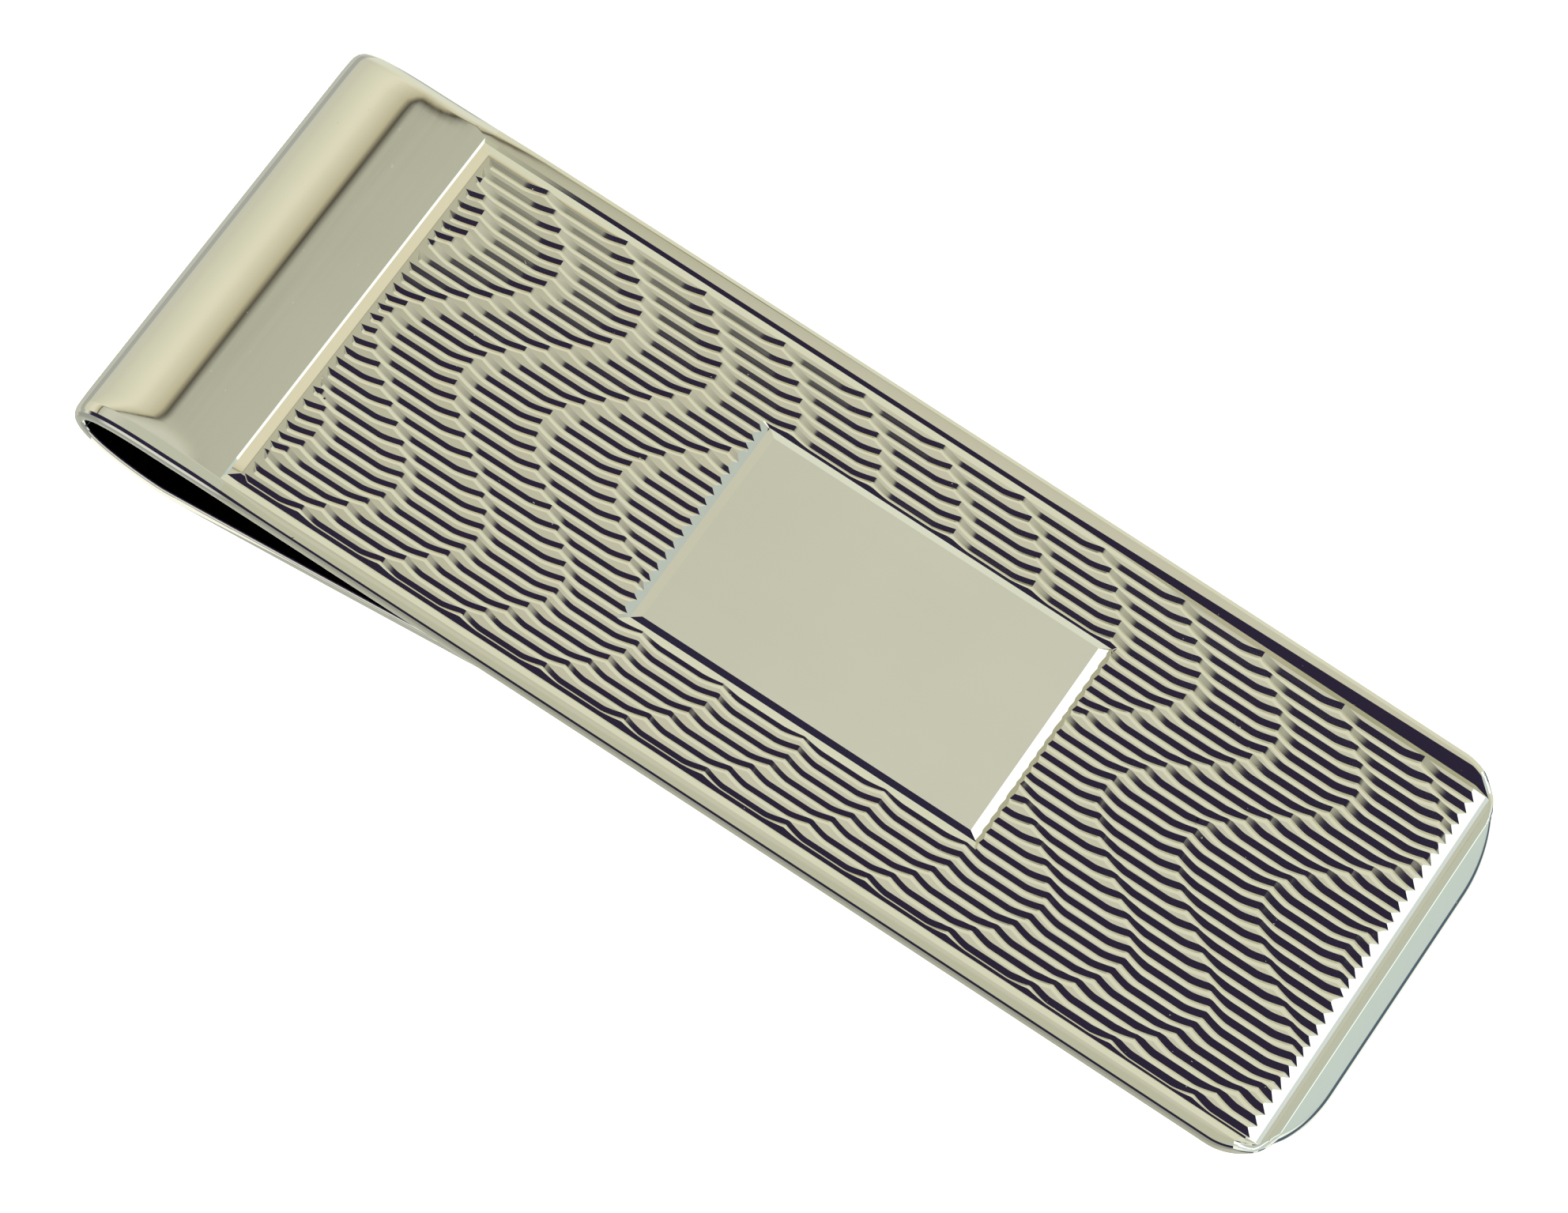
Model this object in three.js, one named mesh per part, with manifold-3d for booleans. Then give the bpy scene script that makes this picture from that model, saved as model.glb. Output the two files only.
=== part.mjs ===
// A money clip: one strip of sprung sheet metal, folded once, in millimetres with +Z up.
// +X runs from the fold towards the turned-down front lip, and +Y runs across the strip.
// The origin lies under the middle of the clip, on the surface that the clip rests on.
// The strip is one piece of metal. It is split into four solids where it flexes, with a
// narrow slot at each of the three lines about which the back spring opens.
import * as THREE from 'three';
import { mergeVertices } from 'three/addons/utils/BufferGeometryUtils.js';
import Module from 'manifold-3d';

// Overall sizes.
const CLIP_LENGTH = 53.7;
const CLIP_WIDTH = 19.7;
const PANEL_TOP = 3.13; // height of the front plate's highest point
const SHEET = 0.6; // thickness of the strip
const FLEX_SLOT = 0.3; // gap between two solids where the strip flexes
const ARRIS = 0.12; // chamfer along the strip's long edges

// The front plate, which is bowed very slightly along its length.
const PANEL_X = 2.5; // middle of the blank panel, and the bow's highest point
const BOW_RADIUS = 2500;
const SHOULDER_X = -23.45; // where the plate starts to turn into the fold
const LIP_X = 25; // where the front lip starts to turn down
const LIP_RADIUS = 2.05;
const LIP_TURN = THREE.MathUtils.degToRad(55);
const LIP_CORNER_LENGTH = 3.2; // the lip's rounded corners, along X
const LIP_CORNER_WIDTH = 4.8; // and along Y

// Engraved lines: a border round the decorated field, and one round the blank panel.
const BORDER_LEFT_X = -20.6;
const BORDER_RIGHT_X = 24.85;
const BORDER_Y = 9;
const PANEL_HALF_LENGTH = 7.85;
const PANEL_HALF_WIDTH = 4.85;
const LINE_WIDTH = 0.46;
const LINE_DEPTH = 0.14;

// The fold, seen from the side.
const FOLD_END = new THREE.Vector2(-CLIP_LENGTH / 2 + SHEET / 2, 1.73);
const FOLD_BOTTOM = new THREE.Vector2(-21.9, 0.316);
const SHOULDER_PULL = 2.1; // how far each end of the fold's curves keeps its direction
const UPPER_FOLD_PULL = 0.68;
const LOWER_FOLD_PULL = 0.8;
const FOLD_BOTTOM_PULL = 3;

// The back spring: it rises to grip the plate, then its tip flares away from it.
const SPRING_RISE = 0.046; // slope where it leaves the fold
const SPRING_ROOT_PULL = 12; // how far the rise keeps the direction it starts with
const GRIP_PULL = 9; // and the direction it ends with
const GRIP_X = 12;
const GRIP_GAP = 0.3; // clearance at the grip line with nothing in the clip
const TIP_X = 21.2;
const TIP_HEIGHT = 0.29; // middle of the sheet at the tip
const TIP_HALF_WIDTH = 7.5;
const TIP_CORNER = 5.2;
const TAPER_X = -22.6; // where the spring starts to narrow

// Where the strip flexes, as a share of each curve's own length.
const UPPER_FLEX = 0.55;
const LOWER_FLEX = 0.5;
const SPRING_FLEX = 0.27;

// How many straight steps each stretch of the strip is drawn with.
const TIGHT_STEPS = 8;
const GENTLE_STEPS = 5;
const OUTLINE_STEPS = 10;

const wasm = await Module();
wasm.setup();

const metal = (name, color) =>
  new THREE.MeshStandardMaterial({ name, color, roughness: 0.12, metalness: 1 });
const platedFront = metal('engraved front', 0xc9c8b4);
const platedSpring = metal('plain spring', 0xc6c4ae);

// ---- The strip's middle line, from the lip's edge to the spring's tip ----

const bowCentre = new THREE.Vector2(PANEL_X, PANEL_TOP - BOW_RADIUS);
const bowMiddleRadius = BOW_RADIUS - SHEET / 2;
const bowAngle = (x) => Math.acos((x - PANEL_X) / bowMiddleRadius);
const bowPoint = (x) => {
  const angle = bowAngle(x);
  const out = new THREE.Vector2(Math.cos(angle), Math.sin(angle));
  return out.multiplyScalar(bowMiddleRadius).add(bowCentre);
};
const plateTop = (x) => PANEL_TOP - (x - PANEL_X) ** 2 / (2 * BOW_RADIUS);

const lipAngle = bowAngle(LIP_X);
const lipCentre = bowPoint(LIP_X).sub(
  new THREE.Vector2(Math.cos(lipAngle), Math.sin(lipAngle)).multiplyScalar(LIP_RADIUS),
);
const lip = new THREE.EllipseCurve(
  lipCentre.x, lipCentre.y, LIP_RADIUS, LIP_RADIUS, lipAngle - LIP_TURN, lipAngle,
);

const plateStretch = (fromX, toX) => new THREE.EllipseCurve(
  bowCentre.x, bowCentre.y, bowMiddleRadius, bowMiddleRadius, bowAngle(fromX), bowAngle(toX),
);
const panelEnd = PANEL_X + PANEL_HALF_LENGTH;
const panelStart = PANEL_X - PANEL_HALF_LENGTH;
const plateRight = plateStretch(LIP_X, panelEnd);
const plateMiddle = new THREE.LineCurve(bowPoint(panelEnd), bowPoint(panelStart));
const plateLeft = plateStretch(panelStart, SHOULDER_X);

const shoulder = bowPoint(SHOULDER_X);
const shoulderAngle = bowAngle(SHOULDER_X);
const shoulderHeading = new THREE.Vector2(-Math.sin(shoulderAngle), Math.cos(shoulderAngle));
const upperFold = new THREE.CubicBezierCurve(
  shoulder,
  shoulderHeading.multiplyScalar(SHOULDER_PULL).add(shoulder),
  FOLD_END.clone().add(new THREE.Vector2(0, UPPER_FOLD_PULL)),
  FOLD_END,
);
const springHeading = new THREE.Vector2(1, SPRING_RISE).normalize();
const lowerFold = new THREE.CubicBezierCurve(
  FOLD_END,
  FOLD_END.clone().sub(new THREE.Vector2(0, LOWER_FOLD_PULL)),
  springHeading.clone().multiplyScalar(-FOLD_BOTTOM_PULL).add(FOLD_BOTTOM),
  FOLD_BOTTOM,
);
const grip = new THREE.Vector2(GRIP_X, plateTop(GRIP_X) - 1.5 * SHEET - GRIP_GAP);
const springRise = new THREE.CubicBezierCurve(
  FOLD_BOTTOM,
  springHeading.clone().multiplyScalar(SPRING_ROOT_PULL).add(FOLD_BOTTOM),
  grip.clone().sub(new THREE.Vector2(GRIP_PULL, 0)),
  grip,
);
const springTip = new THREE.QuadraticBezierCurve(
  grip,
  new THREE.Vector2((GRIP_X + TIP_X) / 2, grip.y),
  new THREE.Vector2(TIP_X, TIP_HEIGHT),
);

// ---- Solids ----

// Points of the middle line with the direction out of the fold, between two shares of a curve.
function stations(curve, from, to, steps) {
  return Array.from({ length: steps + 1 }, (_, i) => {
    const share = from + ((to - from) * i) / steps;
    const heading = curve.getTangentAt(share);
    return { point: curve.getPointAt(share), out: new THREE.Vector2(heading.y, -heading.x) };
  });
}

function offset(station, distance) {
  return station.out.clone().multiplyScalar(distance).add(station.point);
}

// Half a flex slot, as a share of the curve's length.
const slotShare = (curve) => FLEX_SLOT / 2 / curve.getLength();

function toSolid(geometry) {
  const bare = geometry.clone();
  bare.deleteAttribute('normal');
  bare.deleteAttribute('uv');
  const merged = mergeVertices(bare, 1e-4);
  return new wasm.Manifold(new wasm.Mesh({
    numProp: 3,
    vertProperties: new Float32Array(merged.attributes.position.array),
    triVerts: new Uint32Array(merged.index.array),
  }));
}

// The strip's side profile along these stations, drawn out across the clip's full width.
function stripSolid(along) {
  const distinct = along.filter(
    (s, i) => i === 0 || s.point.distanceTo(along[i - 1].point) > 1e-3,
  );
  const outer = distinct.map((s) => offset(s, SHEET / 2));
  const inner = distinct.map((s) => offset(s, -SHEET / 2)).reverse();
  const geometry = new THREE.ExtrudeGeometry(new THREE.Shape([...outer, ...inner]), {
    depth: CLIP_WIDTH - 2 * ARRIS,
    bevelEnabled: true,
    bevelThickness: ARRIS,
    bevelSize: ARRIS,
    bevelOffset: -ARRIS,
    bevelSegments: 1,
  });
  geometry.rotateX(Math.PI / 2);
  geometry.translate(0, CLIP_WIDTH / 2 - ARRIS, 0);
  return toSolid(geometry);
}

// An upright block with the given outline in plan, tall enough to trim any part of the strip.
function planBlock(outline) {
  const geometry = new THREE.ExtrudeGeometry(outline, {
    depth: 3 * PANEL_TOP,
    bevelEnabled: false,
    curveSegments: OUTLINE_STEPS,
  });
  geometry.translate(0, 0, -PANEL_TOP);
  return toSolid(geometry);
}

// A tongue in plan, symmetric about the X axis: it runs from behind the fold to endX, and its
// end has elliptical corners of the given length and width.
function tongueOutline(taperX, endX, endHalfWidth, cornerLength, cornerWidth) {
  const backX = -CLIP_LENGTH;
  const cornerX = endX - cornerLength;
  const cornerY = endHalfWidth - cornerWidth;
  const half = CLIP_WIDTH;
  const outline = new THREE.Shape();
  outline.moveTo(backX, -half);
  outline.lineTo(taperX, -half);
  outline.lineTo(taperX, -CLIP_WIDTH / 2);
  outline.lineTo(cornerX, -endHalfWidth);
  outline.absellipse(cornerX, -cornerY, cornerLength, cornerWidth, -Math.PI / 2, 0, false);
  outline.lineTo(endX, cornerY);
  outline.absellipse(cornerX, cornerY, cornerLength, cornerWidth, 0, Math.PI / 2, false);
  outline.lineTo(taperX, CLIP_WIDTH / 2);
  outline.lineTo(taperX, half);
  outline.lineTo(backX, half);
  return outline;
}

// A V-shaped cutter along X or Y at the plate's top surface, bent to the plate's bow.
function lineCutter(x, y, length, alongX) {
  const rise = 0.2;
  const spread = 1 + rise / LINE_DEPTH;
  const section = new THREE.Shape([
    new THREE.Vector2(0, -LINE_DEPTH),
    new THREE.Vector2((spread * LINE_WIDTH) / 2, rise),
    new THREE.Vector2((-spread * LINE_WIDTH) / 2, rise),
  ]);
  const geometry = new THREE.ExtrudeGeometry(section, {
    depth: length,
    steps: alongX ? OUTLINE_STEPS : 1,
    bevelEnabled: false,
  });
  geometry.translate(0, 0, -length / 2);
  geometry.rotateX(Math.PI / 2);
  if (alongX) geometry.rotateZ(Math.PI / 2);
  geometry.translate(x, y, 0);
  const position = geometry.attributes.position;
  for (let i = 0; i < position.count; i += 1) {
    const top = alongX ? plateTop(position.getX(i)) : plateTop(x);
    position.setZ(i, position.getZ(i) + top);
  }
  return toSolid(geometry);
}

// Four engraved lines round a rectangle.
function rectangleCutters(leftX, rightX, halfWidth) {
  const middleX = (leftX + rightX) / 2;
  return [
    lineCutter(leftX, 0, 2 * halfWidth, false),
    lineCutter(rightX, 0, 2 * halfWidth, false),
    lineCutter(middleX, halfWidth, rightX - leftX, true),
    lineCutter(middleX, -halfWidth, rightX - leftX, true),
  ];
}

function meshOf(solid, name, material) {
  const { numProp, vertProperties, triVerts } = solid.getMesh();
  const geometry = new THREE.BufferGeometry();
  geometry.setAttribute('position', new THREE.BufferAttribute(vertProperties, numProp));
  geometry.setIndex(new THREE.BufferAttribute(triVerts, 1));
  geometry.computeVertexNormals();
  const mesh = new THREE.Mesh(geometry, material);
  mesh.name = name;
  return mesh;
}

// ---- The four solids ----

const frontOutline = tongueOutline(
  SHOULDER_X, CLIP_LENGTH / 2, CLIP_WIDTH / 2, LIP_CORNER_LENGTH, LIP_CORNER_WIDTH,
);
const springOutline = tongueOutline(TAPER_X, TIP_X, TIP_HALF_WIDTH, TIP_CORNER, TIP_CORNER);

function frontPlate() {
  const along = [
    ...stations(lip, 0, 1, TIGHT_STEPS),
    ...stations(plateRight, 0, 1, GENTLE_STEPS),
    ...stations(plateMiddle, 0, 1, 1),
    ...stations(plateLeft, 0, 1, GENTLE_STEPS),
    ...stations(upperFold, 0, UPPER_FLEX - slotShare(upperFold), TIGHT_STEPS),
  ];
  const cutters = [
    ...rectangleCutters(BORDER_LEFT_X, BORDER_RIGHT_X, BORDER_Y),
    ...rectangleCutters(panelStart, panelEnd, PANEL_HALF_WIDTH),
  ];
  const blank = stripSolid(along).intersect(planBlock(frontOutline));
  return cutters.reduce((solid, cutter) => solid.subtract(cutter), blank);
}

function foldEnd() {
  return stripSolid([
    ...stations(upperFold, UPPER_FLEX + slotShare(upperFold), 1, TIGHT_STEPS),
    ...stations(lowerFold, 0, LOWER_FLEX - slotShare(lowerFold), TIGHT_STEPS),
  ]);
}

function springRoot() {
  const along = [
    ...stations(lowerFold, LOWER_FLEX + slotShare(lowerFold), 1, TIGHT_STEPS),
    ...stations(springRise, 0, SPRING_FLEX - slotShare(springRise), GENTLE_STEPS),
  ];
  return stripSolid(along).intersect(planBlock(springOutline));
}

function springTongue() {
  const along = [
    ...stations(springRise, SPRING_FLEX + slotShare(springRise), 1, TIGHT_STEPS),
    ...stations(springTip, 0, 1, TIGHT_STEPS),
  ];
  return stripSolid(along).intersect(planBlock(springOutline));
}

const clip = new THREE.Group();
clip.add(
  meshOf(frontPlate(), 'front_plate', platedFront),
  meshOf(foldEnd(), 'fold_end', platedSpring),
  meshOf(springRoot(), 'spring_root', platedSpring),
  meshOf(springTongue(), 'spring_tongue', platedSpring),
);

export default clip;
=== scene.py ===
# A money clip folded from one polished strip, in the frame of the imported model.
# Shapes are worked out in millimetres on the flat strip, and are then wrapped round its bends.
import math

import bmesh
import bpy
import numpy as np
from mathutils import Matrix, Vector


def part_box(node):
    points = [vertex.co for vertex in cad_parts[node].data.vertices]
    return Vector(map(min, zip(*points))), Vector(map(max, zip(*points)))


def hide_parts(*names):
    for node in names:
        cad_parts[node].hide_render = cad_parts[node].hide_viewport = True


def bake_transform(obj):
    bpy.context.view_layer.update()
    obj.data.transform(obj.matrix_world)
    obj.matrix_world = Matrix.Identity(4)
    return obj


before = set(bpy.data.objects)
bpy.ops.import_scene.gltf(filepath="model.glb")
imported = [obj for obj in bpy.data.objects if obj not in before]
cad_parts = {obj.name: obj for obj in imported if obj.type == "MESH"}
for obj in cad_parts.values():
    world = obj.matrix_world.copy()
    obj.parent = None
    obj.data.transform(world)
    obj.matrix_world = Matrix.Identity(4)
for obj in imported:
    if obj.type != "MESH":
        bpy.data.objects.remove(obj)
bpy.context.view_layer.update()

MM = 0.001

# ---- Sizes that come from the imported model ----

plate_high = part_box("front_plate")[1] / MM
HALF_WIDTH = plate_high.y
PANEL_TOP = plate_high.z
LIP_END_X = plate_high.x
FOLD_LEFT_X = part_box("fold_end")[0].x / MM
TIP_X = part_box("spring_tongue")[1].x / MM

# ---- The strip's side profile ----

SHEET = 0.6  # thickness
PANEL_X = 2.5  # middle of the blank panel
BOW_RADIUS = 2500
SHOULDER_X = -23.45  # where the plate turns into the fold
LIP_X = 25  # where the lip starts to turn down
LIP_LENGTH = 1.85
LIP_TURN = math.radians(36)
LIP_BEND = ((0, 0), (0.23, 0), (0.44, 0.611), (0.444, 0.806), (1, 1))  # share of length, of turn
LIP_CREASE = (0.436, 0.448)  # shares of the lip's length on either side of its crease
FOLD_END = (FOLD_LEFT_X + SHEET / 2, 1.73)
FOLD_BOTTOM = (-21.9, 0.316)
SHOULDER_PULL = 2.1  # how far each end of the fold's curves keeps its direction
UPPER_FOLD_PULL = 0.68
LOWER_FOLD_PULL = 0.8
FOLD_BOTTOM_PULL = 3
SPRING_RISE = 0.046
SPRING_ROOT_PULL = 12
GRIP_PULL = 9
GRIP_X = 12
GRIP_GAP = 0.3
TIP_HEIGHT = 0.29
LINE_STEP = 0.005  # spacing of the middle line's points
CURVE_POINTS = 900

# ---- The strip's outline ----

LIP_CORNER_LENGTH = 3.2
LIP_CORNER_WIDTH = 4.8
TAPER_X = -22.6
TIP_HALF_WIDTH = 7.5
TIP_CORNER = 5.2
FOLD_SEAM_X = -20  # the fold's piece ends and the spring's begins here, on the back
ARRIS_WIDTH = 0.3  # rounding of the plate's outer edges
ARRIS_DROP = 0.21
INNER_ARRIS = 0.14
FOLD_ARRIS_WIDTH = 0.52  # the fold's edges are rolled off further
FOLD_ARRIS_DROP = 0.3
FOLD_ARRIS_END_X = -18
FOLD_BLEND = 4  # length over which the fold's wider rounding comes in
FOLD_BLEND_START = 6  # and how far before the fold's middle that begins, on the back
CROWN_WIDTH = 0.8  # the fold also falls away gently before its rounded edges
CROWN_DROP = 0.02
CROWN_FADE = 2  # length over which it fades out before the engraved border
ARRIS_TURNS = (0, 20, 40, 60, 78, 90)  # degrees round a rounded edge, one for each row of vertices
LIP_ARRIS_DROP = 0.12
LIP_STEP = 0.33  # the lip's face lies this far below the plate's

# ---- Engine turning: one V cut for each row, with a peak at each period ----

ROWS = 31
ROW_PITCH = 0.567
FIRST_ROW_Y = 8.45
CUT_DEPTH = 0.099
CUT_DEEPER = 0.4  # the cuts are this much wider and deeper at the lip than at the fold
RUN_OUT_X = -20
RUN_OUT_LENGTH = 0.32
NEAR_FLANK = 0.184  # width of the flank that faces -Y
FAR_FLANK = 0.226  # width of the flank that faces +Y
PEAK_PERIOD = 3.62
PEAK_X = -17.3
PEAK_HEIGHT = 0.23
PEAK_REACH = 0.9
PEAK_POWER = 1.4
WAVE_SWING = 2.15  # the peaks swing along X from row to row
WAVE_LENGTH = 11.2
COLUMN = 0.09  # spacing of the field's vertices along X

# Engraved lines, one tuple a side: its edge on the field's side, its deepest line, its edge on
# the other side, and its depth.
BORDER = {
    "left": (-20.1, -20.5, -20.59, 0.051),
    "right": (24.65, 25.34, 25.36, 0.33),
    "top": (8.61, 8.946, 9.1, 0.1),
    "bottom": (-8.667, -8.951, -9.3, 0.151),
}
PANEL = {
    "left": (-5.46, -5.08, -4.7, 0.173),
    "right": (10.55, 10.4, 9.98, 0.221),
    "top": (5.385, 5.2, 4.87, 0.1),
    "bottom": (-5.2, -4.786, -4.55, 0.131),
}
# The top border is cut wider and deeper towards the lip: x, its far edge there, its depth there.
TOP_CUT_X = (-20.5, -8, 5, 25)
TOP_CUT_EDGE = (9.1, 9.1, 9.1, 9.45)
TOP_CUT_DEPTH = (0.078, 0.1, 0.1, 0.3)
DEEPEST_CUT = -0.4  # every engraved face lies above this
FIELD_MARGIN = 0.6
PANEL_INSET = 1
RIM_LEFT_X = -21.1
RIM_RIGHT_X = 25.42
RIM_LEAST = 0.06  # flat metal left between the border and the rounded edge

CREASE = math.radians(15)  # faces that meet at more than this stay crisp


# ---- The strip's middle line ----


def curve(*controls):
    """Points along the Bezier curve of these control points."""
    share = np.linspace(0, 1, CURVE_POINTS)[:, None]
    top = len(controls) - 1
    return sum(
        math.comb(top, k) * share**k * (1 - share) ** (top - k) * np.array(point, float)
        for k, point in enumerate(controls)
    )


def arc(centre, radius, start, end):
    angle = np.linspace(start, end, CURVE_POINTS)[:, None]
    return np.array(centre) + radius * np.hstack([np.cos(angle), np.sin(angle)])


def middle_line():
    """(u, x, z, heading) along the strip from the lip's edge to the spring's tip. u is the
    length along the strip: it equals x on the plate, and keeps falling round the fold."""
    bow = BOW_RADIUS - SHEET / 2
    bow_centre = (PANEL_X, PANEL_TOP - BOW_RADIUS)
    at_lip = math.acos((LIP_X - PANEL_X) / bow)
    at_shoulder = math.acos((SHOULDER_X - PANEL_X) / bow)
    plate = arc(bow_centre, bow, at_lip, at_shoulder)
    length = np.linspace(0, LIP_LENGTH, CURVE_POINTS)
    bend = np.interp(length / length[-1], *zip(*LIP_BEND)) * LIP_TURN
    fall = bend + math.pi / 2 - at_lip
    step = length[1]
    lip = np.stack([np.cumsum(np.cos(fall)), -np.cumsum(np.sin(fall))], 1) * step + plate[0]
    shoulder = plate[-1]
    leftwards = np.array([-math.sin(at_shoulder), math.cos(at_shoulder)])
    rising = np.array([1, SPRING_RISE]) / math.hypot(1, SPRING_RISE)
    fold_end, fold_bottom = np.array(FOLD_END), np.array(FOLD_BOTTOM)
    grip_z = PANEL_TOP - (GRIP_X - PANEL_X) ** 2 / (2 * BOW_RADIUS) - 1.5 * SHEET - GRIP_GAP
    stretches = [
        lip[::-1],
        plate,
        curve(
            shoulder,
            shoulder + SHOULDER_PULL * leftwards,
            fold_end + (0, UPPER_FOLD_PULL),
            fold_end,
        ),
        curve(
            fold_end,
            fold_end - (0, LOWER_FOLD_PULL),
            fold_bottom - FOLD_BOTTOM_PULL * rising,
            fold_bottom,
        ),
        curve(
            fold_bottom,
            fold_bottom + SPRING_ROOT_PULL * rising,
            (GRIP_X - GRIP_PULL, grip_z),
            (GRIP_X, grip_z),
        ),
        curve((GRIP_X, grip_z), ((GRIP_X + TIP_X) / 2, grip_z), (TIP_X, TIP_HEIGHT)),
    ]
    points = np.vstack([s if i == 0 else s[1:] for i, s in enumerate(stretches)])
    run = np.concatenate([[0], np.cumsum(np.hypot(*np.diff(points, axis=0).T))])
    even = np.linspace(0, run[-1], int(run[-1] / LINE_STEP))
    x, z = np.interp(even, run, points[:, 0]), np.interp(even, run, points[:, 1])
    heading = np.unwrap(np.arctan2(np.gradient(z, even), np.gradient(x, even)))
    on_plate = slice(0, np.argmin(x))
    at_panel = np.interp(-PANEL_X, -x[on_plate], even[on_plate])
    return PANEL_X - (even - at_panel), x, z, heading


LINE_U, LINE_X, LINE_Z, LINE_HEADING = (a[::-1] for a in middle_line())
FOLD_U = LINE_U[np.argmin(LINE_X)]
LIP_U, TIP_U = LINE_U[-1], LINE_U[0]
BACK = LINE_U < FOLD_U


def back_u(x):
    """u of the point at this x on the back of the clip."""
    return np.interp(-x, -LINE_X[BACK], LINE_U[BACK])


def wrap(flat):
    """Points of the flat strip (u, y, height over its outer face), in metres on the clip."""
    u, y, height = flat.T
    heading = np.interp(u, LINE_U, LINE_HEADING)
    out = SHEET / 2 + height
    x = np.interp(u, LINE_U, LINE_X) + out * np.sin(heading)
    z = np.interp(u, LINE_U, LINE_Z) - out * np.cos(heading)
    return np.stack([x, y, z], 1) * MM


def wrap_directions(flat, directions):
    """Directions at these points of the flat strip, as they lie on the clip."""
    heading = np.interp(flat[:, 0], LINE_U, LINE_HEADING)
    along, across, out = directions.T
    return np.stack(
        [
            -along * np.cos(heading) + out * np.sin(heading),
            across,
            -along * np.sin(heading) - out * np.cos(heading),
        ],
        1,
    )


# ---- Mesh helpers, all on the flat strip ----


def corner_normals(mesh):
    """A normal for each face corner: the mean, by area, of the faces round its vertex that
    lie within CREASE of its own face."""
    count = len(mesh.loops)
    vertex = np.zeros(count, int)
    mesh.loops.foreach_get("vertex_index", vertex)
    sizes = np.zeros(len(mesh.polygons), int)
    mesh.polygons.foreach_get("loop_total", sizes)
    face = np.repeat(np.arange(len(sizes)), sizes)
    normals = np.zeros(len(sizes) * 3)
    mesh.polygons.foreach_get("normal", normals)
    normals = normals.reshape(-1, 3)
    areas = np.zeros(len(sizes))
    mesh.polygons.foreach_get("area", areas)
    order = np.argsort(vertex, kind="stable")
    around = np.bincount(vertex)
    first = np.concatenate([[0], np.cumsum(around)[:-1]])
    partners = around[vertex]
    mine = np.repeat(np.arange(count), partners)
    step = np.arange(len(mine)) - np.repeat(np.cumsum(partners) - partners, partners)
    other = order[first[vertex[mine]] + step]
    close = (normals[face[mine]] * normals[face[other]]).sum(1) > math.cos(CREASE)
    mine, other = mine[close], other[close]
    total = np.zeros((count, 3))
    np.add.at(total, mine, normals[face[other]] * areas[face[other], None])
    length = np.linalg.norm(total, axis=1, keepdims=True)
    return np.where(length > 1e-12, total / np.maximum(length, 1e-12), normals[face])


def finish_piece(bm, name, materials, material_of=None):
    """Turns the flat mesh into a piece of the clip, with its normals wrapped round too."""
    bmesh.ops.dissolve_degenerate(bm, dist=1e-5, edges=bm.edges)
    bmesh.ops.triangulate(bm, faces=[f for f in bm.faces if len(f.verts) > 4])
    bmesh.ops.recalc_face_normals(bm, faces=bm.faces)
    mesh = bpy.data.meshes.new(name)
    bm.to_mesh(mesh)
    bm.free()
    flat = np.zeros(len(mesh.vertices) * 3)
    mesh.vertices.foreach_get("co", flat)
    flat = flat.reshape(-1, 3)
    normals = corner_normals(mesh)
    vertex = np.zeros(len(mesh.loops), int)
    mesh.loops.foreach_get("vertex_index", vertex)
    if material_of:
        centres = np.zeros(len(mesh.polygons) * 3)
        mesh.polygons.foreach_get("center", centres)
        chosen = material_of(centres.reshape(-1, 3))
        mesh.polygons.foreach_set("material_index", chosen.astype(np.int32))
    for material in materials:
        mesh.materials.append(material)
    mesh.vertices.foreach_set("co", wrap(flat).ravel())
    mesh.shade_smooth()
    mesh.update()
    mesh.normals_split_custom_set(wrap_directions(flat[vertex], normals).tolist())
    piece = bpy.data.objects.new(name, mesh)
    bpy.context.scene.collection.objects.link(piece)
    return piece


def smooth_step(x):
    x = np.clip(x, 0, 1)
    return x * x * (3 - 2 * x)


def fold_share(u):
    """1 round the fold, falling to 0 along the plate and along the back."""
    from_plate = smooth_step((FOLD_ARRIS_END_X - u) / FOLD_BLEND)
    return from_plate * smooth_step((u - FOLD_U + FOLD_BLEND_START) / FOLD_BLEND)


def crown(u, y, half_width):
    """How far the fold's faces fall away at y."""
    into = (np.abs(y) - half_width + FOLD_ARRIS_WIDTH + CROWN_WIDTH) / CROWN_WIDTH
    share = fold_share(u) * smooth_step((RIM_LEFT_X - u) / CROWN_FADE)
    return CROWN_DROP * share * np.clip(into, 0, 1) ** 2


def lip_step(u):
    """How far the outer face lies below the plate's, down the right border's slope."""
    start, end = BORDER["right"][:2]
    return LIP_STEP * np.clip((np.asarray(u) - start) / (end - start), 0, 1)


def arris_size(u):
    """(width, drop) of the rounding along the strip's outer edges."""
    fold = fold_share(u)
    width = ARRIS_WIDTH + (FOLD_ARRIS_WIDTH - ARRIS_WIDTH) * fold
    drop = ARRIS_DROP + (FOLD_ARRIS_DROP - ARRIS_DROP) * fold
    return width, drop + (LIP_ARRIS_DROP - drop) * lip_step(u) / LIP_STEP


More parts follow.
